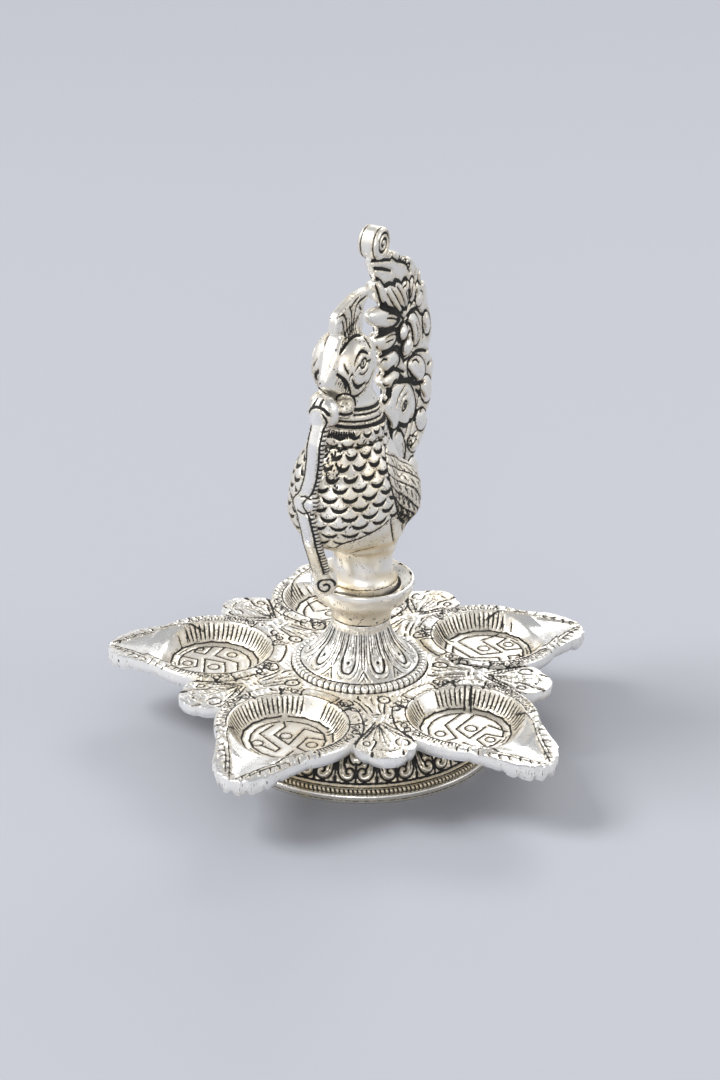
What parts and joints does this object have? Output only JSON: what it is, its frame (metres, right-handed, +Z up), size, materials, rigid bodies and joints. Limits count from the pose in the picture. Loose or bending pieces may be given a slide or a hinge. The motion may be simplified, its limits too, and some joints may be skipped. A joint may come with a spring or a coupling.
{
  "type": "aarti lamp",
  "caption": "Devotional oil lamp in antique silver finish: star-shaped tray of spouted cups on a bell foot, with a peacock that holds a snake on a petal stem.",
  "frame": {"origin": "middle of the foot's underside, on the axis of the stack", "axes": "+Z up along the axis of the stack, -Y towards the front, where the peacock and one cup face"},
  "size_m": [0.1266, 0.1211, 0.1379],
  "materials": {
    "silvered_brass": "antique silver plate, dark in the recesses and bright on the filed edges",
    "steel": "plain zinc"
  },
  "bodies": {
    "root": {"foot": "silvered_brass", "tray": "silvered_brass", "petal_cone": "silvered_brass", "saucer": "silvered_brass", "peacock_body": "silvered_brass", "peacock_head": "silvered_brass", "tail": "silvered_brass", "snake": "silvered_brass", "stud": "steel", "washer": "steel", "nut": "steel"}
  },
  "joints": []
}
